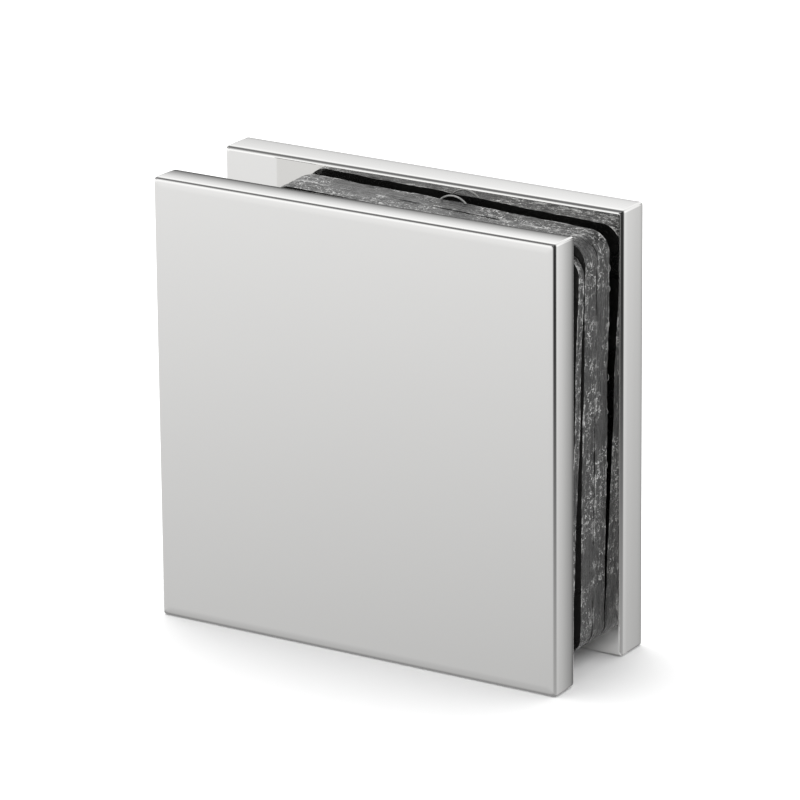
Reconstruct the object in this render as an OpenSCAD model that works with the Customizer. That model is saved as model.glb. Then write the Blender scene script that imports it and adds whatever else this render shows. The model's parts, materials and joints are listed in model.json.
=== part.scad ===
// Square glass clamp for a wall: two polished plates, clear gaskets between them and two screws.
// The wall is on the left (-X), the glass comes in from the right, the front plate faces -Y and Z is up.

/* [Plates] */
// Side of each square plate
plate_side = 50; // [46:1:70]
// Depth over both plates as the clamp stands, which sets the plates' thickness
overall_depth = 18.6; // [17.4:0.1:24]
// Edge rounding of the front plate's outer face
front_outer_r = 0.35; // [0.1:0.05:0.8]
// Edge rounding of the front plate's glass side
front_inner_r = 1; // [0.4:0.1:1.6]
// Depth of the flat part of the front plate's sides, before the polished crown starts
crown_start = 0.8; // [0.6:0.1:2]
// Height of the crown, which draws the sides in towards the glass side
crown_h = 0.12; // [0.04:0.02:0.3]
// Edge rounding of the back plate's glass side
back_inner_r = 0.45; // [0.1:0.05:1]
// Edge rounding of the back plate's outer face
back_outer_r = 0.5; // [0.1:0.05:1]
// Rounding of the four corners of each plate
corner_r = 0.3; // [0.1:0.05:0.8]

/* [Wall block] */
// How far the block reaches in from the wall side
block_reach = 16; // [15:0.5:20]
// Height of the block
block_h = 32; // [30:1:36]
// Rounding of the block's two inner corners
block_r = 1.5; // [0.5:0.1:3]
// How far the plates can still close before the block stops the back plate
close_travel = 0.5; // [0.2:0.1:0.6]
// Clearance that is left between block and back plate when fully closed
stop_clearance = 0.1; // [0.05:0.05:0.3]
// Diameter of the wall screw holes
wall_hole_d = 4.2; // [3.5:0.1:5]
// Head diameter of the wall screws' countersinks
wall_head_d = 7.6; // [7:0.1:8.4]
// Distance between the wall screw holes
wall_hole_pitch = 9; // [8.5:0.5:11]

/* [Clamp screws] */
// Thread diameter of the screws
screw_d = 5; // [4:0.5:6]
// Head diameter of the screws
head_d = 10; // [9:0.1:11]
// Straight rim at the top of each head
head_rim = 0.3; // [0.1:0.1:0.6]
// Depth of each head below the back face
head_sink = 0.15; // [0.05:0.05:0.4]
// Hex socket, across its flats
socket_af = 3; // [2.5:0.1:4]
// Depth of the hex socket
socket_depth = 2; // [1.5:0.1:2.4]
// Diameter of the conical drill mark in the socket's floor
socket_drill_d = 2.6; // [2:0.1:2.8]
// Chamfer at the tip of the thread
tip_chamfer = 0.6; // [0.2:0.1:1]
// Distance of the screws from the wall side
screw_inset = 10; // [8.5:0.5:11.5]
// Distance between the two screws
screw_pitch = 22; // [20:0.5:23]
// How far each tip reaches into the front plate
screw_reach = 1.05; // [0.5:0.05:1.4]
// Clearance under each tip when fully closed
tip_clearance = 0.3; // [0.1:0.1:0.5]
// Running clearance round thread and head, on the radius
screw_clearance = 0.05; // [0.02:0.01:0.1]
// Chamfer at the mouth of each threaded hole
mouth_chamfer = 0.4; // [0.1:0.1:0.8]
// Edge break at the mouth of each countersink in the back plate
sink_break = 0.2; // [0.1:0.05:0.4]
// Point angle of the drills, in degrees
drill_angle = 118; // [90:1:140]

/* [Gaskets] */
// Thickness of the two thick gaskets
thick_t = 2.5; // [1.5:0.1:3]
// Thickness of the two thin gaskets
thin_t = 1.1; // [0.8:0.1:1.6]
// Free space left for the glass between the gaskets, before the loose one leans into it
glass_space = 2.2; // [2:0.1:6]
// Rounding of the gaskets' corners
gasket_r = 2.5; // [1:0.1:4]
// Margin between the gaskets and the plates' open side
open_margin = 1.4; // [1:0.1:3]
// Margin between the gaskets and the plates' wall side
wall_margin = 9.2; // [7:0.1:12]
// Margin above the gaskets
top_margin = 1.4; // [1.2:0.1:4]
// Margin below the gaskets
bottom_margin = 1.6; // [1.2:0.1:4]
// Lean of the two thick gaskets from their feet at the back plate, in degrees
thick_lean = 1.4; // [0:0.1:1.5]
// Lean of the loose thin gasket the other way, in degrees
thin_lean = 0.3; // [0:0.1:0.4]
// Turn of the loose gaskets in their own plane, in degrees
loose_turn = 1.6; // [0:0.1:2]
// Clearance between the thin gasket's top and the thick gasket that it leans from
thin_rest = 0.1; // [0.05:0.05:0.3]
// Clearance between the gaskets' notch and the block
notch_clearance = 0.8; // [0.6:0.1:1.2]

/* [Hidden] */
$fn = 64;

chrome_colour = [0.84, 0.84, 0.83];
steel_colour = [0.68, 0.68, 0.67];
vinyl_colour = [0.42, 0.42, 0.41];
cut = 1; // how far cutting tools run past the faces that they cut

// Depths of the faces, from the front face back, with the middle of the clamp at Y = 0
plate_gap = 2 * thick_t + 2 * thin_t + glass_space;
plate_t = (overall_depth - plate_gap) / 2;
front_y = -overall_depth / 2;
front_inner_y = front_y + plate_t;
back_inner_y = front_inner_y + plate_gap;
back_y = back_inner_y + plate_t;

half_side = plate_side / 2;
mid_z = half_side;

// The wall block stands on the front plate and stops short of the back plate
block_depth = plate_gap - close_travel - stop_clearance;
block_end_y = front_inner_y + block_depth;
block_mid_y = front_inner_y + block_depth / 2;
block_inner_x = block_reach - half_side;

// The screws run from the back plate into the block
screw_x = screw_inset - half_side;
screw_top_y = back_y - head_sink;
screw_len = screw_top_y - front_inner_y + screw_reach;
hole_d = screw_d + 2 * screw_clearance;
hole_end_y = front_inner_y - screw_reach - close_travel - tip_clearance;

gasket_left_x = wall_margin - half_side;
gasket_w = plate_side - wall_margin - open_margin;
gasket_h = plate_side - top_margin - bottom_margin;
notch_depth = block_inner_x + notch_clearance - gasket_left_x;
notch_h = block_h + 2 * notch_clearance;
gasket_middle = [gasket_left_x + gasket_w / 2, bottom_margin + gasket_h / 2];

// The thick gaskets lean from the foot of the back plate, and the thin one from their front at the top
thick_foot = [0, back_inner_y, 0];
thin_top_y = back_inner_y - (2 * thick_t + plate_side * sin(thick_lean)) / cos(thick_lean) - thin_rest;
thin_top = [0, thin_top_y, plate_side];

// Two-dimensional shape in X and Z, raised into a slab that starts at depth y
module slab(y, t) {
    translate([0, y + t, 0])
        rotate([90, 0, 0])
            linear_extrude(t)
                children();
}

// Rectangle with four rounded corners, from its lower left corner
module rounded_rect(w, h, r) {
    translate([r, 0])
        square([w - 2 * r, h]);
    translate([0, r])
        square([w, h - 2 * r]);
    for (x = [r, w - r], y = [r, h - r])
        translate([x, y])
            circle(r);
}

// Near part of a plate's section, depth along X and the plate's side along Y, rounded at its face
module rounded_start(d, r) {
    translate([r, -half_side])
        square([d - r, plate_side]);
    translate([0, r - half_side])
        square([d, plate_side - 2 * r]);
    for (side = [-1, 1])
        translate([r, side * (half_side - r)])
            circle(r);
}

// Section through a flat-sided plate, rounded at both faces
module plate_section(t, near_r, far_r) {
    rounded_start(t - far_r, near_r);
    translate([t, 0])
        mirror([1, 0])
            rounded_start(t - near_r, far_r);
}

// Section through the front plate, whose sides run into a polished crown towards the glass
module crowned_section(t, near_r, far_r) {
    run = t - crown_start;
    crown_r = (run * run + crown_h * crown_h) / (2 * crown_h);
    crown_y = half_side - crown_r;
    rim_x = t - far_r;
    rim_y = crown_y + sqrt(pow(crown_r - far_r, 2) - pow(rim_x - crown_start, 2));
    meet_x = rim_x + far_r * (rim_x - crown_start) / (crown_r - far_r);

    rounded_start(crown_start, near_r);
    translate([0, -rim_y])
        square([t, 2 * rim_y]);
    for (side = [-1, 1]) {
        translate([rim_x, side * rim_y])
            circle(far_r);
        intersection() {
            translate([crown_start, side * crown_y])
                circle(crown_r, $fn = 360);
            translate([crown_start, side > 0 ? 0 : -half_side])
                square([meet_x - crown_start, half_side]);
        }
    }
}

// Square plate with the same section, given as a child, along all four edges
module square_plate(y, t) {
    intersection() {
        translate([-half_side - cut, y, mid_z])
            rotate([90, 0, 90])
                linear_extrude(plate_side + 2 * cut)
                    children();
        translate([0, y, -cut])
            linear_extrude(plate_side + 2 * cut)
                rotate(90)
                    children();
        slab(y - cut, t + 2 * cut)
            translate([-half_side, 0])
                rounded_rect(plate_side, plate_side, corner_r);
    }
}

// Outline of the wall block: square on the wall side, rounded at its two inner corners
module block_outline() {
    translate([-half_side, mid_z - block_h / 2]) {
        square([block_reach - block_r, block_h]);
        translate([0, block_r])
            square([block_reach, block_h - 2 * block_r]);
        for (z = [block_r, block_h - block_r])
            translate([block_reach - block_r, z])
                circle(block_r);
    }
}

// Cylinder along +Y from depth y0 to y1, or a cone when it has a second diameter
module drill_y(x, z, y0, y1, d0, d1) {
    translate([x, y0, z])
        rotate([-90, 0, 0])
            cylinder(d1 = d0, d2 = d1, h = y1 - y0);
}

// Depth of the conical point that a drill of diameter d leaves
function drill_point(d) = d / 2 / tan(drill_angle / 2);

// Places children at each clamp screw's height
module at_screws() {
    for (side = [-1, 1])
        translate([0, 0, mid_z + side * screw_pitch / 2])
            children();
}

// One wall screw hole through the block, countersunk from the glass side
module wall_hole() {
    sink = (wall_head_d - wall_hole_d) / 2;
    translate([-half_side - cut, block_mid_y, 0])
        rotate([0, 90, 0])
            cylinder(d = wall_hole_d, h = block_reach + 2 * cut);
    translate([block_inner_x - sink, block_mid_y, 0])
        rotate([0, 90, 0])
            cylinder(d1 = wall_hole_d, d2 = wall_head_d + 2 * cut, h = sink + cut);
}

// Front plate and wall block in one casting, with threaded holes and wall screw holes
module front_plate() {
    color(chrome_colour)
        difference() {
            union() {
                square_plate(front_y, plate_t)
                    crowned_section(plate_t, front_outer_r, front_inner_r);
                slab(front_inner_y - plate_t / 2, plate_t / 2 + block_depth)
                    block_outline();
            }
            at_screws() {
                drill_y(screw_x, 0, hole_end_y - drill_point(hole_d), hole_end_y, 0, hole_d);
                drill_y(screw_x, 0, hole_end_y, block_end_y + cut, hole_d, hole_d);
                drill_y(screw_x, 0, block_end_y - mouth_chamfer, block_end_y + cut,
                    hole_d, hole_d + 2 * (mouth_chamfer + cut));
            }
            for (side = [-1, 1])
                translate([0, 0, mid_z + side * wall_hole_pitch / 2])
                    wall_hole();
        }
}

// Back plate with two countersunk holes
module back_plate() {
    cone_end_y = screw_top_y - head_rim;
    cone_start_y = cone_end_y - (head_d - screw_d) / 2;
    sink_d = head_d + 2 * screw_clearance;
    color(chrome_colour)
        difference() {
            square_plate(back_inner_y, plate_t)
                plate_section(plate_t, back_inner_r, back_outer_r);
            at_screws() {
                drill_y(screw_x, 0, back_inner_y - cut, back_y + cut, hole_d, hole_d);
                drill_y(screw_x, 0, cone_start_y - screw_clearance, cone_end_y - screw_clearance,
                    hole_d, sink_d);
                drill_y(screw_x, 0, cone_end_y - screw_clearance, back_y + cut, sink_d, sink_d);
                drill_y(screw_x, 0, back_y - sink_break, back_y + cut,
                    sink_d, sink_d + 2 * (sink_break + cut));
            }
        }
}

// Countersunk screw with a hex socket; its head's top is at Z = 0 and its tip points down
module screw_body() {
    r = screw_d / 2;
    difference() {
        rotate_extrude()
            polygon([
                [0, -screw_len],
                [r - tip_chamfer, -screw_len],
                [r, tip_chamfer - screw_len],
                [r, r - head_d / 2 - head_rim],
                [head_d / 2, -head_rim],
                [head_d / 2, 0],
                [0, 0]
            ]);
        translate([0, 0, -socket_depth])
            cylinder(d = socket_af / cos(30), h = socket_depth + cut, $fn = 6);
        translate([0, 0, -socket_depth - drill_point(socket_drill_d)])
            cylinder(d1 = 0, d2 = socket_drill_d, h = drill_point(socket_drill_d));
    }
}

module clamp_screw(side) {
    color(steel_colour)
        translate([screw_x, screw_top_y, mid_z + side * screw_pitch / 2])
            rotate([-90, 0, 0])
                screw_body();
}

// Gasket sheet with rounded corners and a notch that clears the wall block, turned about its middle
module gasket(y, t, turn) {
    color(vinyl_colour)
        slab(y, t)
            translate(gasket_middle)
                rotate(-turn)
                    translate(-gasket_middle)
                        difference() {
                            translate([gasket_left_x, bottom_margin])
                                rounded_rect(gasket_w, gasket_h, gasket_r);
                            translate([gasket_left_x - cut, mid_z - notch_h / 2])
                                square([notch_depth + cut, notch_h]);
                        }
}

// Tips children about a level line through a point, with their top towards the front
module lean_from(point, angle) {
    translate(point)
        rotate([angle, 0, 0])
            translate(-point)
                children();
}

module rear_thick_gasket() {
    lean_from(thick_foot, thick_lean)
        gasket(back_inner_y - thick_t, thick_t, loose_turn);
}

module middle_thick_gasket() {
    lean_from(thick_foot, thick_lean)
        gasket(back_inner_y - 2 * thick_t, thick_t, loose_turn);
}

module middle_thin_gasket() {
    lean_from(thin_top, -thin_lean)
        gasket(thin_top_y - thin_t, thin_t, loose_turn);
}

// The front gasket lies straight on the front plate
module front_thin_gasket() {
    gasket(front_inner_y, thin_t, 0);
}

module upper_screw() {
    clamp_screw(1);
}

module lower_screw() {
    clamp_screw(-1);
}

front_plate();
back_plate();
rear_thick_gasket();
middle_thick_gasket();
middle_thin_gasket();
front_thin_gasket();
upper_screw();
lower_screw();
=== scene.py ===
"""Square glass clamp: polished plates, clear vinyl gaskets and clamp screws, dressed round the CAD frame.

Laid out as an add-on and run as a script. Every piece takes its place from the frame and rides on a body.
"""

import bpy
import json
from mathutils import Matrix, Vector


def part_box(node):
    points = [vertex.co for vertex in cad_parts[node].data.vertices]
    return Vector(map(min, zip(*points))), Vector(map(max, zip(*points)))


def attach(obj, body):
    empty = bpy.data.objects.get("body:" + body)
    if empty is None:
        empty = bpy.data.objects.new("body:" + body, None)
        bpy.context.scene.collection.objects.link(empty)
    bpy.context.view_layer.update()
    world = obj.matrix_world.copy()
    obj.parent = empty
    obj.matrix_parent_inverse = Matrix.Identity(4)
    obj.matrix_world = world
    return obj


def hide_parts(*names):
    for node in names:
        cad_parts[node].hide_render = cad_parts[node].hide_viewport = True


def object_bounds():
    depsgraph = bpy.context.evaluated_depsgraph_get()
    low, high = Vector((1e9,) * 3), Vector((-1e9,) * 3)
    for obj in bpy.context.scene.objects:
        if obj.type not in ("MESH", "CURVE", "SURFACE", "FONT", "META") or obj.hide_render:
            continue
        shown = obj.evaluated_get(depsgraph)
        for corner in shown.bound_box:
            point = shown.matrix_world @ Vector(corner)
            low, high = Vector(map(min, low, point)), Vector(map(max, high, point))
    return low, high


bl_info = {
    "name": "Square Glass Clamp",
    "version": (1, 0, 0),
    "blender": (4, 5, 0),
    "location": "3D View > Sidebar > Glass Clamp",
    "description": "Builds the plates, gaskets and screws of a square glass clamp, and a studio for it",
    "category": "Add Mesh",
}

import json
import math

import bmesh
import bpy
from bpy.props import FloatProperty, FloatVectorProperty, IntProperty, PointerProperty
from mathutils import Matrix, Vector, noise

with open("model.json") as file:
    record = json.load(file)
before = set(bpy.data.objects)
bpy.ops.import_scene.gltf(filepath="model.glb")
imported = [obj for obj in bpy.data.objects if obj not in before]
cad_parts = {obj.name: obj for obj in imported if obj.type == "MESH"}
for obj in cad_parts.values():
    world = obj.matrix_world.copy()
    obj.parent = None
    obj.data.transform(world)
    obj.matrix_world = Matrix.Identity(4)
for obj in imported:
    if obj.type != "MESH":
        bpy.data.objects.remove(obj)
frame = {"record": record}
CAD_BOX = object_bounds()

MM = 0.001
FRONT_LO, FRONT_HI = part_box("front_plate")
BACK_LO, BACK_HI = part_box("back_plate")
SHEET_LO, SHEET_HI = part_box("front_thin_gasket")
SCREW_LO, SCREW_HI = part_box("upper_screw")
LOW_SCREW_LO, LOW_SCREW_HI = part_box("lower_screw")
SIDE = BACK_HI.x - BACK_LO.x
MID_Z = (BACK_LO.z + BACK_HI.z) / 2
SHEET_W, THIN_T, SHEET_H = SHEET_HI - SHEET_LO
SCREW_HEIGHTS = {
    "upper_screw": (SCREW_LO.z + SCREW_HI.z) / 2,
    "lower_screw": (LOW_SCREW_LO.z + LOW_SCREW_HI.z) / 2,
}
SCREW_X = (SCREW_LO.x + SCREW_HI.x) / 2
HAIR = 0.001 * MM  # the plates stay inside the CAD box by this much
TOUCH, NEAR = 1e-7, 1e-6  # distances within which two points are one, or lie in one plane
HOLE_FACETS = 48
PLATE_CREASE, SCREW_CREASE, SHEET_CREASE = 10, 30, 50  # degrees from which an edge is shaded sharp
MIX_FIRST, MIX_SECOND, MIX_RESULT = 6, 7, 2  # the colour sockets of a mix node


def length(name, description, default, **limits):
    """A size in metres that the sidebar shows in scene units."""
    return FloatProperty(
        name=name, description=description, default=default, unit="LENGTH", precision=5, **limits
    )


def turn(name, description, degrees):
    """An angle that the sidebar shows in degrees."""
    return FloatProperty(
        name=name, description=description, default=math.radians(degrees), unit="ROTATION", subtype="ANGLE"
    )


def colour(name, description, default):
    """A colour that the sidebar shows as a swatch."""
    return FloatVectorProperty(
        name=name, description=description, default=default, size=3, subtype="COLOR", min=0.0, max=1.0
    )


class ClampPlateSizes(bpy.types.PropertyGroup):
    """Edges of the two polished plates and the wall block on the front one."""

    front_t: length("Front thickness", "Thickness of the front plate", 4.6 * MM)
    face_edge: length("Face edge", "Rounding round the front plate's outer face", 0.35 * MM)
    face_roll: length("Face roll", "Width of the polished roll round the front face", 0.8 * MM)
    roll_turn: turn("Face roll turn", "How far that roll turns the face before its edge", 1.6)
    glass_edge: length("Glass edge", "Rounding round the front plate's glass side", 1.0 * MM)
    crown_start: length("Crown start", "Depth at which the front plate's sides begin to draw in", 0.8 * MM)
    crown_drop: length("Crown drop", "How far the polished crown draws the sides in", 0.12 * MM)
    back_glass_edge: length("Back plate glass edge", "Rounding round the back plate's glass side", 0.45 * MM)
    back_outer_edge: length("Back plate outer edge", "Rounding round the back plate's outer face", 0.5 * MM)
    back_crown_drop: length("Back crown", "How far polishing draws the back plate's sides in", 0.03 * MM)
    corner: length("Corner", "Rounding of the plates' four corners", 0.3 * MM)
    block_reach: length("Block reach", "How far the wall block reaches in from the wall side", 16.0 * MM)
    block_height: length("Block height", "Height of the wall block", 32.0 * MM)
    block_corner: length("Block corner", "Rounding of the block's two inner corners", 1.5 * MM)
    block_break: length("Block edge break", "Small bevel round the block's end face", 0.25 * MM)
    wall_hole: length("Wall hole", "Diameter of the wall screw holes", 4.2 * MM)
    wall_head: length("Wall head", "Diameter of the wall screws' countersinks", 7.6 * MM)
    wall_pitch: length("Wall hole pitch", "Distance between the wall screw holes", 9.0 * MM)
    hole_rest: length("Hole rest", "Depth of each threaded hole past its screw's tip", 0.8 * MM)
    mouth: length("Thread mouth", "Chamfer at the mouth of each threaded hole", 0.4 * MM)
    sink_break: length("Sink break", "Edge break at the mouth of each countersink", 0.2 * MM)
    drill_point: turn("Drill point", "Point angle of the drills", 118.0)


class ClampGasketSizes(bpy.types.PropertyGroup):
    """Die-cut vinyl sheets between the plates."""

    corner: length("Corner", "Rounding of the sheets' outer corners", 2.5 * MM)
    notch_corner: length("Notch corner", "Rounding in and beside the notch", 0.5 * MM)
    notch_depth: length("Notch depth", "Depth of the notch that clears the wall block", 7.6 * MM)
    notch_height: length("Notch height", "Height of that notch", 33.6 * MM)
    thick_t: length("Thick sheet", "Thickness of the two thick sheets", 2.5 * MM)
    thick_lean: turn("Thick lean", "Lean of the two thick sheets, with their top to the front", 1.4)
    thin_lean: turn("Thin lean", "Lean of the loose thin sheet, with its top to the front", -0.3)
    loose_turn: turn("Loose turn", "Turn of the loose sheets in their own plane", 1.6)
    step: length("Outline step", "Spacing of the points along the cut edge", 0.45 * MM)
    lip: length("Edge break", "How far the cut edge draws in at the sheet's faces", 0.02 * MM)
    ripple: length("Ripple", "Height of the knife's marks along the cut edge", 0.07 * MM)
    sway: length("Sway", "How far the cut strays from a straight line", 0.11 * MM)


class ClampScrewSizes(bpy.types.PropertyGroup):
    """Countersunk clamp screws with a hex socket."""

    thread: length("Thread", "Thread diameter", 5.0 * MM)
    root: length("Thread root", "Diameter at the bottom of the thread", 4.15 * MM)
    pitch: length("Pitch", "Rise of the thread in one turn", 0.8 * MM)
    head: length("Head", "Head diameter", 10.0 * MM)
    rim: length("Rim", "Straight rim round the head", 0.3 * MM)
    socket: length("Socket", "Hex socket, across its flats", 3.0 * MM)
    socket_depth: length("Socket depth", "Depth of the socket's flats", 2.0 * MM)
    socket_drill: length("Socket drill", "Diameter of the drill mark in the socket's floor", 2.6 * MM)
    head_break: length("Head break", "Fine edge break round the head's top", 0.12 * MM)
    neck: length("Neck", "Length of the neck under the head", 0.2 * MM)
    tip: length("Tip chamfer", "Chamfer at the tip", 0.6 * MM)
    clearance: length("Clearance", "Running clearance round head and thread", 0.05 * MM)
    facets: IntProperty(name="Facets", description="Segments round the screw", default=64, min=24, max=128)


class ClampFinishes(bpy.types.PropertyGroup):
    """Colours of the finishes."""

    chrome: colour("Chrome", "Polished chrome of the plates", (0.88, 0.876, 0.866))
    steel: colour("Steel", "Bright steel of the screws", (0.66, 0.655, 0.64))
    vinyl: colour("Vinyl", "Faces of the smoky clear vinyl", (0.014, 0.014, 0.0136))
    cut: colour("Cut edge", "Die-cut edges of the vinyl", (0.012, 0.012, 0.0117))
    # Fleck colour: the white of real flecks, scuffs, fray and pulled vinyl, and also of the painted glints
    # among the edge flecks.
    fleck_and_glint: colour("Fleck", "White flecks and scuffs on the cut edges", (0.75, 0.75, 0.74))
    floor: colour("Floor", "Studio floor", (0.93, 0.93, 0.93))


class ClampStage(bpy.types.PropertyGroup):
    """Camera and light."""

    camera_place: FloatVectorProperty(
        name="Camera place",
        description="Where the camera stands",
        default=(0.32474, -0.51933, 0.23046),
        size=3,
        subtype="TRANSLATION",
        unit="LENGTH",
    )
    camera_turn: FloatVectorProperty(
        name="Camera turn",
        description="Turn of the camera",
        default=(math.radians(71.567), math.radians(0.511), math.radians(31.836)),
        size=3,
        subtype="EULER",
        unit="ROTATION",
    )
    lens: FloatProperty(name="Lens", description="Focal length in millimetres, 36 mm sensor", default=270.0)
    floor_side: length("Floor side", "Side of the floor", 8.0)
    key_power: FloatProperty(name="Key power", description="Overhead light, in watts", default=9.0)


def new_object(name, bm, materials):
    """Makes a piece at the origin from a finished bmesh."""
    mesh = bpy.data.meshes.new(name)
    bm.to_mesh(mesh)
    bm.free()
    obj = bpy.data.objects.new(name, mesh)
    bpy.context.scene.collection.objects.link(obj)
    for material in materials:
        mesh.materials.append(material)
    return obj


def combine(piece, tool, operation):
    """Adds a tool shape to a piece or cuts it away, and removes the tool."""
    step = piece.modifiers.new("combine", "BOOLEAN")
    step.operation, step.solver, step.object = operation, "EXACT", tool
    depsgraph = bpy.context.evaluated_depsgraph_get()
    result = bpy.data.meshes.new_from_object(piece.evaluated_get(depsgraph))
    if len(result.polygons) < 3:
        raise RuntimeError(f"{piece.name}: combining with {tool.name} left nothing")
    bm = bmesh.new()
    bm.from_mesh(result)
    bmesh.ops.dissolve_degenerate(bm, dist=TOUCH, edges=bm.edges)
    bm.to_mesh(result)
    bm.free()
    piece.modifiers.clear()
    spent, piece.data = piece.data, result
    result.name = piece.name
    bpy.data.meshes.remove(spent)
    spent = tool.data
    bpy.data.objects.remove(tool)
    bpy.data.meshes.remove(spent)


def smooth_piece(piece, crease):
    """Smooth shading with flats that stay flat: sharp edges by angle, then normals weighted by area."""
    piece.data.shade_smooth()
    piece.data.set_sharp_from_angle(angle=math.radians(crease))
    weigh = piece.modifiers.new("flat faces", "WEIGHTED_NORMAL")
    weigh.mode, weigh.weight, weigh.keep_sharp = "FACE_AREA", 50, True


def fit_piece(piece, node):
    """Puts a piece in a CAD node's stead, on that node's body."""
    body = next(b for b, nodes in frame["record"]["behaviour"]["bodies"].items() if node in nodes)
    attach(piece, body)
    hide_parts(node)


def turned(points, origin, axis, steps):
    """A solid of revolution from a profile of (radius, distance along the axis), closed on the axis."""
    bm = bmesh.new()
    along = Vector(axis)
    across = along.orthogonal().normalized()
    chain = [bm.verts.new(Vector(origin) + across * r + along * d) for r, d in points]
    edges = [bm.edges.new(pair) for pair in zip(chain, chain[1:])]
    bmesh.ops.spin(
        bm, geom=chain + edges, cent=origin, axis=along, angle=math.tau, steps=steps, use_merge=True
    )
    bmesh.ops.remove_doubles(bm, verts=bm.verts, dist=TOUCH)
    bmesh.ops.recalc_face_normals(bm, faces=bm.faces)
    return bm


def arc(radius, segments, start, end):
    """Offsets along an arc of a circle, from one angle in degrees to another, as (cosine, sine) lengths."""
    turns = [math.radians(start + (end - start) * i / segments) for i in range(segments + 1)]
    return [(radius * math.cos(t), radius * math.sin(t)) for t in turns]


def face_stations(near_r, roll, roll_turn):
    """Stations of (depth, inset) over the near face's shallow polished roll and round its edge."""
    roll_r = roll / math.sin(roll_turn)
    edge_in = near_r * (1 - math.sin(roll_turn))
    edge_d = near_r * math.cos(roll_turn) + roll_r * (1 - math.cos(roll_turn))
    start = math.degrees(roll_turn)
    rolled = [(roll_r - c, edge_in + roll - s) for c, s in arc(roll_r, 6, 0, start)]
    return rolled + [(edge_d - c, near_r - s) for c, s in arc(near_r, 8, start, 90)[1:]]


def side_profile(t, near_r, far_r, crown_start, crown_drop):
    """Stations of (depth, inset) from a plate's near edge round its crowned side to its far face."""
    run = t - crown_start
    crown_r = (run * run + crown_drop * crown_drop) / (2 * crown_drop)
    rim_d = t - far_r
    rim_in = crown_r - math.sqrt((crown_r - far_r) ** 2 - (rim_d - crown_start) ** 2)
    lean = math.degrees(math.asin((rim_d - crown_start) / (crown_r - far_r)))
    stations = [(near_r - c, near_r - s) for c, s in arc(near_r, 8, 0, 90)]
    stations += [(crown_start + s, crown_r - c) for c, s in arc(crown_r, 6, 0, lean)]
    stations += [(rim_d + s, rim_in - c) for c, s in arc(far_r, 10, lean, 90)[1:]]
    return stations


def square_plate(y, stations, corner):
    """A square plate that starts at depth y: a rounded square drawn back through its side's stations."""
    bm = bmesh.new()
    half = SIDE / 2 - HAIR
    upright = Matrix.Translation((0, y, MID_Z)) @ Matrix.Rotation(math.radians(90), 4, "X")
    bmesh.ops.create_grid(bm, x_segments=1, y_segments=1, size=half, matrix=upright)
    bmesh.ops.bevel(
        bm, geom=bm.verts[:], offset=corner, affect="VERTICES", segments=5, profile=0.5, material=-1
    )
    centre = Matrix.Translation((0, 0, -MID_Z))
    face, size, depth = next(iter(bm.faces)), half, 0.0
    for i, (d, inset) in enumerate(stations):
        if i:
            grown = bmesh.ops.extrude_face_region(bm, geom=[face, *face.edges], use_keep_orig=i == 1)
            face = next(g for g in grown["geom"] if isinstance(g, bmesh.types.BMFace))
        verts = list(face.verts)
        ratio = (half - inset) / size
        bmesh.ops.scale(bm, vec=(ratio, 1, ratio), space=centre, verts=verts)
        bmesh.ops.translate(bm, vec=(0, d - depth, 0), verts=verts)
        size, depth = half - inset, d
    bmesh.ops.recalc_face_normals(bm, faces=bm.faces)
    return bm


def node_of(tree, kind, place, **values):
    """A shader node with its settings and unlinked inputs."""
    made = tree.nodes.new(kind)
    made.location = place
    for key, value in values.items():
        if key in made.inputs:
            made.inputs[key].default_value = value
        else:
            setattr(made, key, value)
    return made


def new_material(name, **settings):
    """A Principled material with constants on its own sockets; returns material, tree and shader."""
    material = bpy.data.materials.new(name)
    material.use_nodes = True
    tree = material.node_tree
    tree.nodes.clear()
    out = node_of(tree, "ShaderNodeOutputMaterial", (600, 0))
    shader = node_of(tree, "ShaderNodeBsdfPrincipled", (300, 0))
    for key, value in settings.items():
        shader.inputs[key.replace("_", " ")].default_value = value
    tree.links.new(shader.outputs["BSDF"], out.inputs["Surface"])
    return material, tree, shader


def ramp_of(tree, place, stops):
    """A colour ramp with grey stops of (position, value)."""
    ramp = node_of(tree, "ShaderNodeValToRGB", place)
    elements = ramp.color_ramp.elements
    while len(elements) < len(stops):
        elements.new(0.5)
    for element, (position, value) in zip(elements, stops):
        element.position = position
        element.color = (value, value, value, 1.0)
    return ramp


def mix_of(tree, place, first, second):
    """A mix node between two set colours."""
    mix = node_of(tree, "ShaderNodeMix", place, data_type="RGBA")
    mix.inputs[MIX_FIRST].default_value = (*first, 1.0)
    mix.inputs[MIX_SECOND].default_value = (*second, 1.0)
    return mix


def math_of(tree, place, operation, first, second):
    """What a math node makes of two values."""
    made = node_of(tree, "ShaderNodeMath", place, operation=operation)
    tree.links.new(first, made.inputs[0])
    tree.links.new(second, made.inputs[1])
    return made.outputs[0]


def step_of(tree, place, value, bounds, levels):
    """A soft step of a value between two bounds, from one level to another."""
    step = node_of(tree, "ShaderNodeMapRange", place, interpolation_type="SMOOTHSTEP")
    for key, number in zip(("From Min", "From Max", "To Min", "To Max"), (*bounds, *levels)):
        step.inputs[key].default_value = number
    tree.links.new(value, step.inputs["Value"])
    return step.outputs["Result"]


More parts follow.
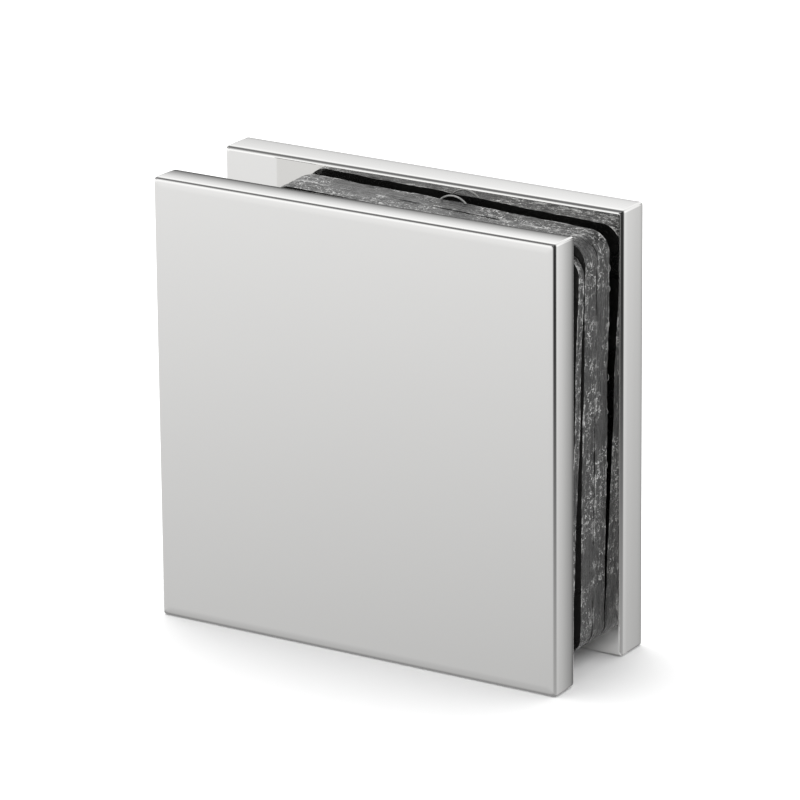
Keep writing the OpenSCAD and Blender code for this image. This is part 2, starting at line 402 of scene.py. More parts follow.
def chrome_material(name, tint):
    """Mirror chrome with the faint haze and slow waviness that a polishing wheel leaves."""
    material, tree, shader = new_material(name, Metallic=1.0, Base_Color=(*tint, 1.0))
    place = node_of(tree, "ShaderNodeTexCoord", (-1000, 0))
    haze = node_of(tree, "ShaderNodeTexNoise", (-700, 150), Scale=260.0, Detail=4.0, Roughness=0.6)
    levels = ramp_of(tree, (-400, 150), [(0.35, 0.028), (0.75, 0.062)])
    wave = node_of(tree, "ShaderNodeTexNoise", (-700, -200), Scale=95.0, Detail=1.0, Roughness=0.4)
    bump = node_of(tree, "ShaderNodeBump", (-100, -200), Strength=0.5, Distance=0.000004)
    tree.links.new(place.outputs["Object"], haze.inputs["Vector"])
    tree.links.new(haze.outputs["Fac"], levels.inputs["Fac"])
    tree.links.new(levels.outputs["Color"], shader.inputs["Roughness"])
    tree.links.new(place.outputs["Object"], wave.inputs["Vector"])
    tree.links.new(wave.outputs["Fac"], bump.inputs["Height"])
    tree.links.new(bump.outputs["Normal"], shader.inputs["Normal"])
    return material


def steel_material(name, tint):
    """Bright steel with fine turning rings round each screw's own axis."""
    material, tree, shader = new_material(name, Metallic=1.0)
    radius = node_of(tree, "ShaderNodeAttribute", (-1000, 0), attribute_name="turned_radius")
    ring_turns = 52000.0  # radians of the ring pattern in a metre of radius
    rings = node_of(tree, "ShaderNodeMath", (-800, 0), operation="MULTIPLY")
    rings.inputs[1].default_value = ring_turns
    wave = node_of(tree, "ShaderNodeMath", (-620, 0), operation="SINE")
    place = node_of(tree, "ShaderNodeTexCoord", (-1000, -250))
    grime = node_of(tree, "ShaderNodeTexNoise", (-700, -250), Scale=900.0, Detail=5.0, Roughness=0.65)
    levels = ramp_of(tree, (-400, -250), [(0.3, 0.16), (0.7, 0.34)])
    shade = mix_of(tree, (-100, 150), [c * 0.8 for c in tint], tint)
    bump = node_of(tree, "ShaderNodeBump", (-100, -150), Strength=0.35, Distance=0.00001)
    tree.links.new(radius.outputs["Fac"], rings.inputs[0])
    tree.links.new(rings.outputs[0], wave.inputs[0])
    tree.links.new(wave.outputs[0], bump.inputs["Height"])
    tree.links.new(place.outputs["Object"], grime.inputs["Vector"])
    tree.links.new(grime.outputs["Fac"], levels.inputs["Fac"])
    tree.links.new(grime.outputs["Fac"], shade.inputs["Factor"])
    tree.links.new(shade.outputs[MIX_RESULT], shader.inputs["Base Color"])
    tree.links.new(levels.outputs["Color"], shader.inputs["Roughness"])
    tree.links.new(bump.outputs["Normal"], shader.inputs["Normal"])
    return material


def vinyl_face_material(name, tint):
    """Smooth face of the smoky clear sheet, with a little cling haze."""
    material, tree, shader = new_material(name, IOR=1.53, Transmission_Weight=0.06, Specular_IOR_Level=0.5)
    place = node_of(tree, "ShaderNodeTexCoord", (-1000, 0))
    cling = node_of(tree, "ShaderNodeTexNoise", (-700, 0), Scale=420.0, Detail=4.0, Roughness=0.6)
    levels = ramp_of(tree, (-400, -100), [(0.35, 0.07), (0.75, 0.3)])
    shade = mix_of(tree, (-100, 150), tint, [min(1.0, c * 2.2) for c in tint])
    tree.links.new(place.outputs["Object"], cling.inputs["Vector"])
    tree.links.new(cling.outputs["Fac"], levels.inputs["Fac"])
    tree.links.new(cling.outputs["Fac"], shade.inputs["Factor"])
    tree.links.new(shade.outputs[MIX_RESULT], shader.inputs["Base Color"])
    tree.links.new(levels.outputs["Color"], shader.inputs["Roughness"])
    return material


def vinyl_edge_material(name, tint, fleck_and_glint):
    """Die-cut edge of the sheet: glossy vinyl with knife streaks, scratches and white flecks, the flecks
    partly real white marks and partly painted glints.
    """
    material, tree, shader = new_material(
        name, IOR=1.53, Specular_IOR_Level=1.0, Coat_Weight=0.4, Coat_Roughness=0.28, Coat_IOR=1.8
    )
    link = tree.links.new
    run = node_of(tree, "ShaderNodeAttribute", (-1900, 200), attribute_name="run")
    place = node_of(tree, "ShaderNodeTexCoord", (-1900, -100))
    split = node_of(tree, "ShaderNodeSeparateXYZ", (-1700, -100))
    strip = node_of(tree, "ShaderNodeCombineXYZ", (-1500, 100))
    link(place.outputs["Object"], split.inputs["Vector"])
    link(run.outputs["Fac"], strip.inputs["X"])
    link(split.outputs["Y"], strip.inputs["Y"])
    rim = node_of(tree, "ShaderNodeAttribute", (-1900, -400), attribute_name="rim")
    frayed = ramp_of(tree, (-700, -500), [(0.55, 0.0), (0.9, 1.0)])
    link(rim.outputs["Fac"], frayed.inputs["Fac"])

    def grain(row, stretch, scale, low, high):
        """Noise drawn out along the cut, as a mask between two levels."""
        drawn = node_of(tree, "ShaderNodeMapping", (-1300, row))
        drawn.inputs["Scale"].default_value = (stretch, 1.0, 1.0)
        speckle = node_of(
            tree, "ShaderNodeTexNoise", (-1100, row), Scale=scale, Detail=5.0, Roughness=0.65
        )
        levels = ramp_of(tree, (-900, row), [(low, 0.0), (high, 1.0)])
        link(strip.outputs["Vector"], drawn.inputs["Vector"])
        link(drawn.outputs["Vector"], speckle.inputs["Vector"])
        link(speckle.outputs["Fac"], levels.inputs["Fac"])
        return levels.outputs["Color"]

    def both(place, first, second, operation="MULTIPLY"):
        """Two masks combined."""
        return math_of(tree, place, operation, first, second)

    def painted(place, under, mask, paint):
        """A colour laid over another, or over the bare tint, where a mask allows."""
        made = mix_of(tree, place, tint, paint)
        if under is not None:
            link(under, made.inputs[MIX_FIRST])
        link(mask, made.inputs["Factor"])
        return made.outputs[MIX_RESULT]

    streak = grain(400, 0.08, 3600.0, 0.40, 0.70)
    scratch = grain(150, 0.02, 6000.0, 0.58, 0.68)
    scuff = grain(-100, 0.45, 2600.0, 0.56, 0.70)
    worn = grain(-350, 1.0, 170.0, 0.43, 0.52)
    broken = grain(-600, 0.6, 1500.0, 0.46, 0.53)

    wrinkle = node_of(
        tree, "ShaderNodeTexNoise", (-1100, -850), Scale=1300.0, Detail=3.0, Roughness=0.6
    )
    link(strip.outputs["Vector"], wrinkle.inputs["Vector"])
    crease = ramp_of(tree, (-900, -850), [(0.482, 0.0), (0.494, 1.0), (0.506, 1.0), (0.518, 0.0)])
    link(wrinkle.outputs["Fac"], crease.inputs["Fac"])
    hairs = both((-300, -700), both((-500, -700), crease.outputs["Color"], broken), worn)

    # White flecks: partly real white marks in the vinyl, partly painted glints, laid in as flat base colour.
    spots = node_of(tree, "ShaderNodeTexVoronoi", (-1100, -1150), Scale=3600.0, Randomness=1.0)
    dots = ramp_of(tree, (-900, -1150), [(0.14, 1.0), (0.34, 0.0)])
    pick = node_of(tree, "ShaderNodeSeparateColor", (-900, -1400))
    few = ramp_of(tree, (-700, -1400), [(0.74, 0.0), (0.8, 1.0)])
    link(strip.outputs["Vector"], spots.inputs["Vector"])
    link(spots.outputs["Distance"], dots.inputs["Fac"])
    link(spots.outputs["Color"], pick.inputs["Color"])
    link(pick.outputs["Red"], few.inputs["Fac"])
    flecks_and_glints = both((-300, -1150), both((-500, -1150), dots.outputs["Color"], few.outputs["Color"]), worn)

    fray = both((-350, -500), both((-500, -500), frayed.outputs["Color"], broken), worn)
    body = painted((-500, 400), None, streak, [c * 3.4 for c in tint])
    body = painted((-350, 350), body, both((-500, 150), scratch, worn), [c * 0.12 for c in fleck_and_glint])
    body = painted((-200, 300), body, both((-350, -100), scuff, worn), [c * 0.07 for c in fleck_and_glint])
    body = painted((-150, 290), body, fray, [c * 0.4 for c in fleck_and_glint])
    body = painted((-100, 280), body, hairs, fleck_and_glint)
    # Paints the flecks white into the base colour: partly real flecks, partly painted glints.
    link(painted((-50, 250), body, flecks_and_glints, fleck_and_glint), shader.inputs["Base Color"])

    gloss = ramp_of(tree, (-50, -50), [(0.0, 0.18), (1.0, 0.36)])
    link(streak, gloss.inputs["Fac"])
    link(gloss.outputs["Color"], shader.inputs["Roughness"])
    bump = node_of(tree, "ShaderNodeBump", (100, -300), Strength=0.8, Distance=0.00005)
    marks = both((-200, -300), streak, scuff, "ADD")
    link(both((-50, -300), marks, scratch, "ADD"), bump.inputs["Height"])
    link(bump.outputs["Normal"], shader.inputs["Normal"])
    link(bump.outputs["Normal"], shader.inputs["Coat Normal"])
    return material


def burr_material(name, fleck_and_glint):
    """Frayed vinyl, whitened where it has been pulled."""
    material, tree, shader = new_material(name, Roughness=0.4, IOR=1.53)
    place = node_of(tree, "ShaderNodeTexCoord", (-800, 0))
    pull = node_of(tree, "ShaderNodeTexNoise", (-600, 0), Scale=2600.0, Detail=3.0)
    shade = mix_of(tree, (-100, 0), [c * 0.2 for c in fleck_and_glint], [c * 0.7 for c in fleck_and_glint])
    tree.links.new(place.outputs["Object"], pull.inputs["Vector"])
    tree.links.new(pull.outputs["Fac"], shade.inputs["Factor"])
    tree.links.new(shade.outputs[MIX_RESULT], shader.inputs["Base Color"])
    return material


def floor_material(name, tint):
    """Matt studio floor with a barely visible tone change."""
    material, tree, shader = new_material(name, Roughness=0.9, Specular_IOR_Level=0.1)
    place = node_of(tree, "ShaderNodeTexCoord", (-800, 0))
    tone = node_of(tree, "ShaderNodeTexNoise", (-600, 0), Scale=3.0, Detail=2.0)
    shade = mix_of(tree, (-100, 0), tint, [min(1.0, c * 1.02) for c in tint])
    tree.links.new(place.outputs["Object"], tone.inputs["Vector"])
    tree.links.new(tone.outputs["Fac"], shade.inputs["Factor"])
    tree.links.new(shade.outputs[MIX_RESULT], shader.inputs["Base Color"])
    return material


def screw_hole_tool(z, sizes, sink_break):
    """Cutter for one countersunk hole in the back plate, with its edge broken."""
    r = sizes.thread / 2 + sizes.clearance
    head_r = sizes.head / 2 + sizes.clearance
    top = SCREW_HI.y - sizes.rim - sizes.clearance
    points = [
        (0, BACK_LO.y - MM),
        (r, BACK_LO.y - MM),
        (r, top - (head_r - r)),
        (head_r, top),
        (head_r, BACK_HI.y - sink_break),
        (head_r + sink_break + MM, BACK_HI.y + MM),
        (0, BACK_HI.y + MM),
    ]
    return new_object("hole_tool", turned(points, (SCREW_X, 0, z), (0, 1, 0), sizes.facets), [])


class CLAMP_OT_front_plate(bpy.types.Operator):
    """Front plate with its wall block, threaded holes and wall screw holes"""

    bl_idname = "glass_clamp.front_plate"
    bl_label = "Front Plate"

    def execute(self, context):
        scene = context.scene
        sizes, screws, finish = scene.clamp_plates, scene.clamp_screws, scene.clamp_finishes
        sides = side_profile(
            sizes.front_t, sizes.face_edge, sizes.glass_edge, sizes.crown_start, sizes.crown_drop
        )
        face = face_stations(sizes.face_edge, sizes.face_roll, sizes.roll_turn)
        stations = face + [station for station in sides if station[0] >= sizes.crown_start]
        chrome = chrome_material("polished_chrome", finish.chrome)
        start_y = FRONT_LO.y + HAIR
        plate = new_object("polished_front_plate", square_plate(start_y, stations, sizes.corner), [chrome])

        inner_y = FRONT_LO.y + sizes.front_t
        combine(plate, new_object("block", self.block(sizes, inner_y - sizes.front_t / 2), []), "UNION")
        mid_y = (inner_y + FRONT_HI.y) / 2
        for side in (-1, 1):
            mouth = (FRONT_LO.x, mid_y, MID_Z + side * sizes.wall_pitch / 2)
            combine(plate, new_object("wall_hole", self.wall_hole(sizes, mouth), []), "DIFFERENCE")
        for z in SCREW_HEIGHTS.values():
            hole = self.thread_hole(sizes, screws.thread / 2 + screws.clearance, z)
            combine(plate, new_object("thread_hole", hole, []), "DIFFERENCE")
        smooth_piece(plate, PLATE_CREASE)
        fit_piece(plate, "front_plate")
        return {"FINISHED"}

    def wall_hole(self, sizes, mouth):
        """Cutter for one wall screw hole, countersunk from the glass side."""
        r, head_r, reach = sizes.wall_hole / 2, sizes.wall_head / 2, sizes.block_reach
        points = [
            (0, -MM),
            (r, -MM),
            (r, reach - (head_r - r)),
            (head_r + MM, reach + MM),
            (0, reach + MM),
        ]
        return turned(points, mouth, (1, 0, 0), HOLE_FACETS)

    def thread_hole(self, sizes, r, z):
        """Cutter for one blind threaded hole with a drilled point and a chamfered mouth."""
        end = SCREW_LO.y - sizes.hole_rest
        points = [
            (0, end - r / math.tan(sizes.drill_point / 2)),
            (r, end),
            (r, FRONT_HI.y - sizes.mouth),
            (r + sizes.mouth + MM, FRONT_HI.y + MM),
            (0, FRONT_HI.y + MM),
        ]
        return turned(points, (SCREW_X, 0, z), (0, 1, 0), HOLE_FACETS)

    def block(self, sizes, start_y):
        """Wall block with rounded inner corners and a broken edge round its end face."""
        bm = bmesh.new()
        size = Vector((sizes.block_reach, FRONT_HI.y - start_y, sizes.block_height))
        centre = Vector((FRONT_LO.x + size.x / 2, start_y + size.y / 2, MID_Z))
        bmesh.ops.create_cube(bm, size=1.0, matrix=Matrix.Translation(centre) @ Matrix.Diagonal((*size, 1.0)))

        inner_x = FRONT_LO.x + size.x
        inner = [e for e in bm.edges if all(abs(v.co.x - inner_x) < TOUCH for v in e.verts)]
        corners = [e for e in inner if abs(e.verts[0].co.y - e.verts[1].co.y) > NEAR]
        bmesh.ops.bevel(
            bm, geom=corners, offset=sizes.block_corner, affect="EDGES", segments=12, profile=0.5, material=-1
        )
        end = [e for e in bm.edges if all(abs(v.co.y - FRONT_HI.y) < TOUCH for v in e.verts)]
        rim = [e for e in end if any(v.co.x > FRONT_LO.x + NEAR for v in e.verts)]
        bmesh.ops.bevel(
            bm, geom=rim, offset=sizes.block_break, affect="EDGES", segments=3, profile=0.5, material=-1
        )
        bmesh.ops.recalc_face_normals(bm, faces=bm.faces)
        return bm


class CLAMP_OT_back_plate(bpy.types.Operator):
    """Back plate with two countersunk holes"""

    bl_idname = "glass_clamp.back_plate"
    bl_label = "Back Plate"

    def execute(self, context):
        scene = context.scene
        sizes, screws, finish = scene.clamp_plates, scene.clamp_screws, scene.clamp_finishes
        near_r, far_r = sizes.back_glass_edge, sizes.back_outer_edge
        stations = side_profile(BACK_HI.y - BACK_LO.y, near_r, far_r, near_r, sizes.back_crown_drop)
        chrome = chrome_material("polished_chrome_back", finish.chrome)
        start_y = BACK_LO.y - HAIR
        plate = new_object("polished_back_plate", square_plate(start_y, stations, sizes.corner), [chrome])
        for z in SCREW_HEIGHTS.values():
            combine(plate, screw_hole_tool(z, screws, sizes.sink_break), "DIFFERENCE")
        smooth_piece(plate, PLATE_CREASE)
        fit_piece(plate, "back_plate")
        return {"FINISHED"}


class CLAMP_OT_screws(bpy.types.Operator):
    """Two countersunk screws with rolled threads and hex sockets"""

    bl_idname = "glass_clamp.screws"
    bl_label = "Clamp Screws"

    def execute(self, context):
        sizes, finish = context.scene.clamp_screws, context.scene.clamp_finishes
        point = context.scene.clamp_plates.drill_point
        steel = steel_material("bright_steel", finish.steel)
        top = SCREW_HI.y
        foot = top - sizes.rim - (sizes.head - sizes.thread) / 2
        for node, z in SCREW_HEIGHTS.items():
            screw = new_object(f"clamp_{node}", self.head(sizes, top, foot, z), [steel])
            combine(screw, new_object("socket", self.socket(sizes, top, z), []), "DIFFERENCE")
            combine(screw, new_object("drill", self.drill_mark(sizes, top, z, point), []), "DIFFERENCE")
            combine(screw, new_object("thread", self.thread(sizes, foot, z), []), "UNION")
            self.mark_radius(screw, z)
            smooth_piece(screw, SCREW_CREASE)
            fit_piece(screw, node)
        return {"FINISHED"}

    def head(self, sizes, top, foot, z):
        """Countersunk head with a fine edge break, and a short neck that the thread joins."""
        r, root, edge, neck = sizes.head / 2, sizes.root / 2, sizes.head_break, foot - sizes.neck
        points = [
            (0, neck),
            (root, neck),
            (sizes.thread / 2, foot),
            (r, top - sizes.rim),
            (r, top - edge),
            (r - edge, top),
            (0, top),
        ]
        return turned(points, (SCREW_X, 0, z), (0, 1, 0), sizes.facets)

    def socket(self, sizes, top, z):
        """Cutter for the hex socket's flats."""
        bm = bmesh.new()
        reach = sizes.socket_depth + MM
        lay = Matrix.Translation((SCREW_X, top + MM - reach / 2, z))
        lay @= Matrix.Rotation(math.radians(-90), 4, "X")
        r = sizes.socket / 2 / math.cos(math.radians(30))
        bmesh.ops.create_cone(bm, cap_ends=True, segments=6, radius1=r, radius2=r, depth=reach, matrix=lay)
        bmesh.ops.recalc_face_normals(bm, faces=bm.faces)
        return bm

    def drill_mark(self, sizes, top, z, point):
        """Cutter for the conical drill mark in the socket's floor."""
        r, floor = sizes.socket_drill / 2, top - sizes.socket_depth
        points = [(0, floor - r / math.tan(point / 2)), (r, floor), (r, floor + r), (0, floor + r)]
        return turned(points, (SCREW_X, 0, z), (0, 1, 0), HOLE_FACETS)

    def thread(self, sizes, foot, z):
        """Rolled thread from the tip into the head, chamfered at the tip."""
        bm = bmesh.new()
        tip = SCREW_LO.y
        head_overlap = 0.15 * MM
        crest, root, pitch = sizes.thread / 2, sizes.root / 2, sizes.pitch
        rises = [(0.0, root), (0.06, root), (0.44, crest), (0.56, crest), (0.94, root), (1.0, root)]
        start = tip - 1.5 * pitch
        chain = [bm.verts.new((SCREW_X + r, start + rise * pitch, z)) for rise, r in rises]
        edges = [bm.edges.new(pair) for pair in zip(chain, chain[1:])]
        turns = math.ceil((foot - start) / pitch) + 1
        per_turn = 40
        bmesh.ops.spin(
            bm,
            geom=chain + edges,
            cent=(SCREW_X, 0, z),
            axis=(0, 1, 0),
            dvec=(0, pitch / per_turn, 0),
            angle=math.tau * turns,
            steps=per_turn * turns,
        )
        bmesh.ops.remove_doubles(bm, verts=bm.verts, dist=NEAR)
        for level, way in ((tip, -1), (foot + head_overlap, 1)):
            cut = bmesh.ops.bisect_plane(
                bm,
                geom=bm.verts[:] + bm.edges[:] + bm.faces[:],
                dist=TOUCH,
                plane_co=(0, level, 0),
                plane_no=(0, way, 0),
                clear_outer=True,
            )
            rim = [g for g in cut["geom_cut"] if isinstance(g, bmesh.types.BMEdge)]
            bmesh.ops.edgeloop_fill(bm, edges=rim)
        for v in bm.verts:
            out = Vector((v.co.x - SCREW_X, v.co.z - z))
            most = crest - sizes.tip + max(0.0, v.co.y - tip)
            if out.length > most:
                out *= most / out.length
                v.co.x, v.co.z = SCREW_X + out.x, z + out.y
        bmesh.ops.recalc_face_normals(bm, faces=bm.faces)
        return bm

    def mark_radius(self, screw, z):
        """Stores each point's distance from the screw's axis, for the turning rings."""
        radius = screw.data.attributes.new("turned_radius", "FLOAT", "POINT")
        distances = [math.hypot(v.co.x - SCREW_X, v.co.z - z) for v in screw.data.vertices]
        radius.data.foreach_set("value", distances)


class CLAMP_OT_gaskets(bpy.types.Operator):
    """Four die-cut vinyl sheets with rough cut edges, burrs and a curl of flash"""

    bl_idname = "glass_clamp.gaskets"
    bl_label = "Gaskets"

    # Each sheet's own drift of its cut, in millimetres: right, up, and a seed for its ripple
    DRIFT = {
        "rear_thick_gasket": (0.0, 0.0, 3.0),
        "middle_thick_gasket": (-0.05, -0.04, 17.0),
        "middle_thin_gasket": (-0.05, -1.2, 31.0),
        "front_thin_gasket": (-0.2, -0.1, 47.0),
    }

    def execute(self, context):
        sizes, finish = context.scene.clamp_gaskets, context.scene.clamp_finishes
        face = vinyl_face_material("clear_vinyl_face", finish.vinyl)
        edge = vinyl_edge_material("clear_vinyl_cut_edge", finish.cut, finish.fleck_and_glint)
        burr = burr_material("clear_vinyl_burr", finish.fleck_and_glint)
        lies = {
            "rear_thick_gasket": (sizes.thick_t, sizes.thick_lean, sizes.loose_turn),
            "middle_thick_gasket": (sizes.thick_t, sizes.thick_lean, sizes.loose_turn),
            "middle_thin_gasket": (THIN_T, sizes.thin_lean, sizes.loose_turn),
            "front_thin_gasket": (THIN_T, 0.0, 0.0),
        }
        for node, (t, lean, turned_by) in lies.items():
            bm = self.sheet(t, sizes, self.DRIFT[node])
            if node == "rear_thick_gasket":
                self.add_flash(bm, t / 2)
            lo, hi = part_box(node)
            leaning = Matrix.Rotation(lean, 4, "X") @ Matrix.Rotation(turned_by, 4, "Y")
            bm.transform(Matrix.Translation((lo + hi) / 2) @ leaning)
            sheet = new_object(f"vinyl_{node}", bm, [face, edge, burr])
            sheet.data.shade_smooth()
            sheet.data.set_sharp_from_angle(angle=math.radians(SHEET_CREASE))
            fit_piece(sheet, node)
        return {"FINISHED"}

    def sheet(self, t, sizes, drift):
        """One sheet about the origin: a notched outline with rounded corners, drawn back in rings."""
        right, up, seed = drift[0] * MM, drift[1] * MM, drift[2]
        x0, x1 = right - SHEET_W / 2, right + SHEET_W / 2
        z0, z1 = -SHEET_H / 2, up + SHEET_H / 2
        notch_x = sizes.notch_depth - SHEET_W / 2
        notch_mid = MID_Z - (SHEET_LO.z + SHEET_HI.z) / 2
        n0, n1 = notch_mid - sizes.notch_height / 2, notch_mid + sizes.notch_height / 2
        corners = [(notch_x, n0), (x0, n0), (x0, z0), (x1, z0), (x1, z1), (x0, z1), (x0, n1), (notch_x, n1)]
        bm = bmesh.new()
        run = bm.verts.layers.float.new("run")
        rim = bm.verts.layers.float.new("rim")
        bm.faces.new([bm.verts.new((x, -t / 2, z)) for x, z in corners])
        outer = [v for v in bm.verts if v.co.z < n0 - MM or v.co.z > n1 + MM]
        inner = [v for v in bm.verts if v not in outer]
        for verts, radius, segments in ((outer, sizes.corner, 9), (inner, sizes.notch_corner, 4)):
            bmesh.ops.bevel(
                bm, geom=verts, offset=radius, affect="VERTICES", segments=segments, profile=0.5, material=-1
            )
        for e in [e for e in bm.edges if e.calc_length() > 1.5 * sizes.step]:
            bmesh.ops.subdivide_edges(bm, edges=[e], cuts=int(e.calc_length() / sizes.step))
        face = next(iter(bm.faces))
        self.mark_run(face, run)

        rings = 9 if t > 2 * MM else 6
        for i in range(rings):
            grown = bmesh.ops.extrude_face_region(bm, geom=[face, *face.edges], use_keep_orig=i == 0)
            face = next(g for g in grown["geom"] if isinstance(g, bmesh.types.BMFace))
            bmesh.ops.translate(bm, vec=(0, t / rings, 0), verts=list(face.verts))
        bmesh.ops.recalc_face_normals(bm, faces=bm.faces)
        bm.normal_update()
        for f in bm.faces:
            f.material_index = 0 if abs(f.normal.y) > 0.9 else 1
        self.roughen(bm, t, sizes, seed, run, rim)
        return bm

    def mark_run(self, outline, run):
        """Stores each point's distance along the cut, for the knife's streaks."""
        walked, last = 0.0, None
        for loop in outline.loops:
            if last is not None:
                walked += (loop.vert.co - last).length
            loop.vert[run] = walked
            last = loop.vert.co.copy()

    def roughen(self, bm, t, sizes, seed, run, rim):
        """Lets the cut stray and ripple, draws it in at the sheet's faces and marks its rims as frayed."""
        moves = []
        fray_width, lip_width = 0.7 * MM, 0.3 * MM
        inside = 0.6 * (sizes.sway + sizes.ripple)
        for v in bm.verts:
            out = Vector((v.normal.x, 0, v.normal.z)).normalized()
            s, depth = v[run] / MM, (v.co.y + t / 2) / MM
            near = t / 2 - abs(v.co.y)
            v[rim] = max(0.0, 1 - near / fray_width)
            lip = sizes.lip * max(0.0, 1 - near / lip_width) ** 2
            sway = sizes.sway * noise.noise((s * 0.11, seed, 0.3))
            coarse = noise.noise((s * 0.35, depth * 2.6 + seed, seed))
            fine = noise.noise((s * 1.1, depth * 5.0, seed + 9.0))
            moves.append((v, out * (sway + sizes.ripple * (coarse + 0.5 * fine) - inside - lip)))
        for v, move in moves:
            v.co += move

    def add_flash(self, bm, back):
        """The curl of flash on the top edge and a few burrs down the right edge."""
        right, top = SHEET_W / 2, SHEET_H / 2
        curl = Vector((0.4 * MM, back - 0.12 * MM, top - 1.78 * MM))
        self.thread_of_flash(bm, curl, (0.0, 1.0, 0.0), 2.3 * MM, -133, -47, 0.1 * MM)
        for i in range(6):
            drop = (4.0 + 26.0 * (i * 0.618 % 1.0)) * MM
            bend = (0.7 + 0.5 * noise.noise((i * 2.3, 5.0, 1.0))) * MM
            tilt = 1.2 * noise.noise((i * 1.3, 4.0, 2.0))
            foot = Vector((right - bend + 0.12 * MM, back - 0.3 * MM, top - drop))
            self.thread_of_flash(bm, foot, (0.4 * tilt, 1.0, tilt), bend, -40, 30, 0.025 * MM)

    def thread_of_flash(self, bm, centre, axis, bend, start, end, thick):
        """A bent hair of vinyl: a small ring spun along an arc about a centre, with closed ends."""
        axis = Vector(axis).normalized()
        level = axis.cross(Vector((0, 0, 1))).normalized()
        spoke = Matrix.Rotation(math.radians(start), 3, axis) @ level
        turn = Matrix((spoke, axis, axis.cross(spoke))).transposed().to_4x4()
        place = Matrix.Translation(centre + spoke * bend) @ turn
        before = set(bm.faces)
        ring = bmesh.ops.create_circle(bm, cap_ends=False, segments=6, radius=thick, matrix=place)["verts"]
        edges = list({e for v in ring for e in v.link_edges})
        bmesh.ops.spin(
            bm, geom=ring + edges, cent=centre, axis=axis, angle=math.radians(end - start), steps=12
        )
        hair = [f for f in bm.faces if f not in before]
        bmesh.ops.holes_fill(bm, edges=list({e for f in hair for e in f.edges if e.is_boundary}), sides=0)
        hair = [f for f in bm.faces if f not in before]
        bmesh.ops.recalc_face_normals(bm, faces=hair)
        for f in hair:
            f.material_index = 2
            f.smooth = True


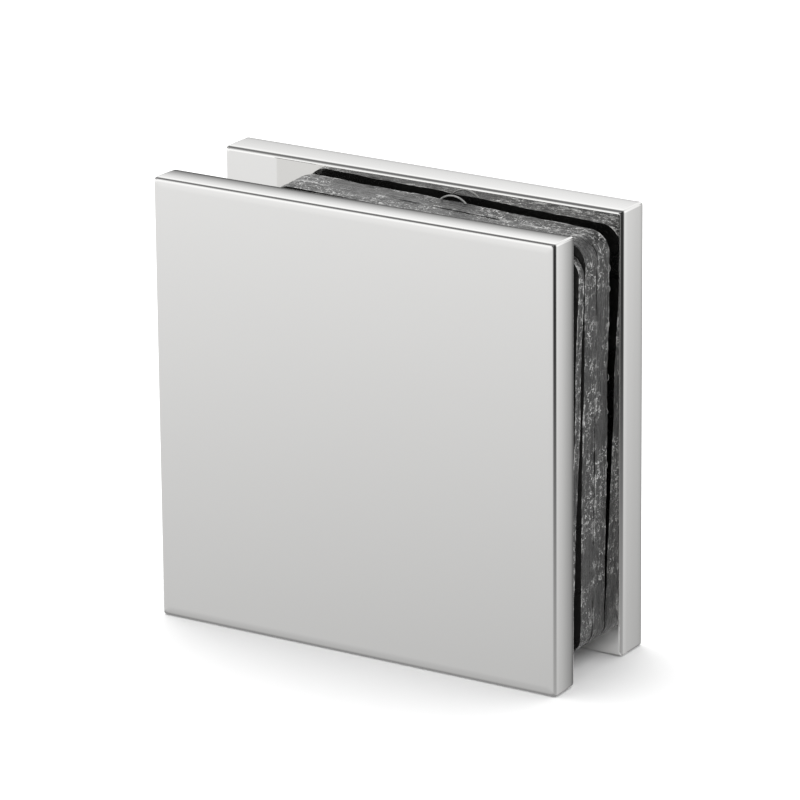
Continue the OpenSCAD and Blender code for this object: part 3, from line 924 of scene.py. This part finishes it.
class CLAMP_OT_stage(bpy.types.Operator):
    """Floor, soft light and the camera at the photograph's angle"""

    bl_idname = "glass_clamp.stage"
    bl_label = "Stage"

    def execute(self, context):
        scene, stage, finish = context.scene, context.scene.clamp_stage, context.scene.clamp_finishes
        floor_drop, patch_drop = 0.02 * MM, 0.01 * MM
        bm = bmesh.new()
        ground = Matrix.Translation((0, 0, CAD_BOX[0].z - floor_drop))
        bmesh.ops.create_grid(bm, x_segments=8, y_segments=8, size=stage.floor_side / 2, matrix=ground)
        floor = new_object("studio_floor", bm, [floor_material("studio_floor", finish.floor)])
        floor.visible_glossy = False
        bm = bmesh.new()
        gap_y = (FRONT_LO.y + BACK_HI.y) / 2
        under = Matrix.Translation((0, gap_y, CAD_BOX[0].z - patch_drop))
        under @= Matrix.Diagonal((SIDE / 2, SIDE / 8, 1.0, 1.0))
        bmesh.ops.create_grid(bm, x_segments=8, y_segments=2, size=1.0, matrix=under)
        patch = new_object("floor_under_clamp", bm, [floor_material("floor_under_clamp", finish.floor)])
        patch.visible_camera = patch.visible_diffuse = patch.visible_shadow = False

        lamp = bpy.data.lights.new("overhead", "AREA")
        lamp.shape, lamp.size, lamp.energy = "DISK", 1.2, stage.key_power
        overhead = bpy.data.objects.new("overhead", lamp)
        overhead.location = (-0.25, 0.15, 1.1)
        towards = Vector((0, 0, 0.02)) - overhead.location
        overhead.rotation_euler = towards.to_track_quat("-Z", "Y").to_euler()
        overhead.visible_glossy = False
        scene.collection.objects.link(overhead)

        self.surroundings(scene)
        lens = bpy.data.cameras.new("camera")
        lens.sensor_width, lens.lens, lens.clip_start, lens.clip_end = 36.0, stage.lens, 0.01, 50.0
        camera = bpy.data.objects.new("camera", lens)
        camera.location, camera.rotation_euler = stage.camera_place, stage.camera_turn
        scene.collection.objects.link(camera)
        scene.camera = camera
        scene.view_settings.view_transform = "Standard"
        return {"FINISHED"}

    def surroundings(self, scene):
        """White room for the eye; for reflections a bright band, a dark ceiling and soft dark screens."""
        world = bpy.data.worlds.new("studio")
        scene.world = world
        world.use_nodes = True
        tree = world.node_tree
        tree.nodes.clear()
        link = tree.links.new
        out = node_of(tree, "ShaderNodeOutputWorld", (900, 0))
        place = node_of(tree, "ShaderNodeTexCoord", (-1400, 0))
        split = node_of(tree, "ShaderNodeSeparateXYZ", (-1200, 0))
        link(place.outputs["Generated"], split.inputs["Vector"])

        height = node_of(tree, "ShaderNodeMapRange", (-1000, 200))
        height.inputs["From Min"].default_value = -1.0
        link(split.outputs["Z"], height.inputs["Value"])
        ground = [(0.0, 0.2), (0.22, 0.22), (0.31, 0.36), (0.362, 0.61), (0.41, 0.74)]
        sky = [(0.5, 0.8), (0.65, 0.8), (0.8, 0.62), (0.88, 0.14), (1.0, 0.1)]
        band = ramp_of(tree, (-800, 200), ground + sky)
        link(height.outputs["Result"], band.inputs["Fac"])

        def screen(towards, edge, low, high, rest):
            """Share of light left by a soft dark screen around a direction, between two heights."""
            aim = node_of(tree, "ShaderNodeVectorMath", (-1000, -200), operation="DOT_PRODUCT")
            aim.inputs[1].default_value = towards
            link(place.outputs["Generated"], aim.inputs[0])
            total = step_of(tree, (-800, -200), aim.outputs["Value"], edge, (0.0, 1.0))
            for heights, levels in ((low, (0.0, 1.0)), (high, (1.0, 0.0))):
                if heights:
                    mask = step_of(tree, (-800, -450), split.outputs["Z"], heights, levels)
                    total = math_of(tree, (-500, -300), "MULTIPLY", total, mask)
            keep = node_of(tree, "ShaderNodeMapRange", (-300, -300))
            keep.inputs["To Min"].default_value = 1.0
            keep.inputs["To Max"].default_value = rest
            link(total, keep.inputs["Value"])
            return keep.outputs["Result"]

        light = band.outputs["Color"]
        for kept in (
            screen((0.766, -0.643, 0.0), (0.15, 0.8), (-0.40, -0.30), None, 0.04),
            screen((-0.52, 0.85, 0.0), (0.40, 0.62), (-0.25, -0.12), (0.17, 0.32), 0.08),
            screen((-0.50, -0.86, 0.0), (0.30, 0.60), (0.20, 0.32), (0.42, 0.55), 0.08),
            screen((0.246, 0.918, -0.31), (0.96, 1.0045), None, (-0.22, -0.12), 0.08),
        ):
            light = math_of(tree, (0, 100), "MULTIPLY", light, kept)

        studio = node_of(tree, "ShaderNodeBackground", (300, 100), Strength=1.42)
        link(light, studio.inputs["Color"])
        white = node_of(tree, "ShaderNodeBackground", (300, -100), Color=(1.0, 1.0, 1.0, 1.0), Strength=1.0)
        ray = node_of(tree, "ShaderNodeLightPath", (300, 400))
        seen, lit = ray.outputs["Is Camera Ray"], ray.outputs["Is Diffuse Ray"]
        choose = node_of(tree, "ShaderNodeMixShader", (700, 0))
        link(math_of(tree, (500, 300), "MAXIMUM", seen, lit), choose.inputs["Fac"])
        link(studio.outputs["Background"], choose.inputs[1])
        link(white.outputs["Background"], choose.inputs[2])
        link(choose.outputs["Shader"], out.inputs["Surface"])


class CLAMP_PT_panel(bpy.types.Panel):
    """Builds the clamp piece by piece"""

    bl_idname = "CLAMP_PT_panel"
    bl_label = "Glass Clamp"
    bl_space_type = "VIEW_3D"
    bl_region_type = "UI"
    bl_category = "Glass Clamp"

    def draw(self, context):
        for operator in OPERATORS:
            self.layout.operator(operator.bl_idname)
        for name in GROUPS:
            box = self.layout.box()
            group = getattr(context.scene, name)
            for prop in group.__annotations__:
                box.prop(group, prop)


OPERATORS = (CLAMP_OT_stage, CLAMP_OT_front_plate, CLAMP_OT_back_plate, CLAMP_OT_gaskets, CLAMP_OT_screws)
GROUPS = {
    "clamp_plates": ClampPlateSizes,
    "clamp_gaskets": ClampGasketSizes,
    "clamp_screws": ClampScrewSizes,
    "clamp_finishes": ClampFinishes,
    "clamp_stage": ClampStage,
}
CLASSES = (*GROUPS.values(), *OPERATORS, CLAMP_PT_panel)


def register():
    for cls in CLASSES:
        bpy.utils.register_class(cls)
    for name, group in GROUPS.items():
        setattr(bpy.types.Scene, name, PointerProperty(type=group))


def unregister():
    for name in GROUPS:
        delattr(bpy.types.Scene, name)
    for cls in reversed(CLASSES):
        bpy.utils.unregister_class(cls)


def main():
    register()
    bpy.ops.glass_clamp.stage()
    bpy.ops.glass_clamp.front_plate()
    bpy.ops.glass_clamp.back_plate()
    bpy.ops.glass_clamp.gaskets()
    bpy.ops.glass_clamp.screws()


if __name__ == "__main__":
    main()
